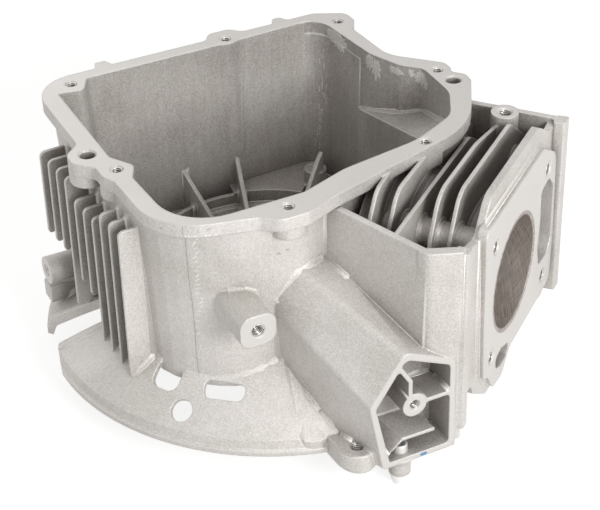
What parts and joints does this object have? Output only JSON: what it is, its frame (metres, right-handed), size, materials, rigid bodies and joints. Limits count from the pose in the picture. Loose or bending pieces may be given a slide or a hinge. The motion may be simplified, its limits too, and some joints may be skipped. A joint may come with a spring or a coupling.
{
  "type": "engine block",
  "caption": "Die-cast block of a single-cylinder overhead-valve engine: finned cylinder, open crankcase, flywheel skirt and breather box.",
  "frame": {"origin": "centre of the cylinder bore on the deck face", "axes": "+X along the bore, out of the deck towards the cylinder head; +Z along the crankshaft, out of the open sump side; +Y completes a right-handed frame"},
  "size_m": [0.4, 0.382, 0.2143],
  "materials": {
    "casting": "shot-blasted cast",
    "liner": "honed",
    "tube": "plain"
  },
  "bodies": {
    "root": {"block": "casting", "liner": "liner", "drain_tube": "tube"}
  },
  "joints": []
}
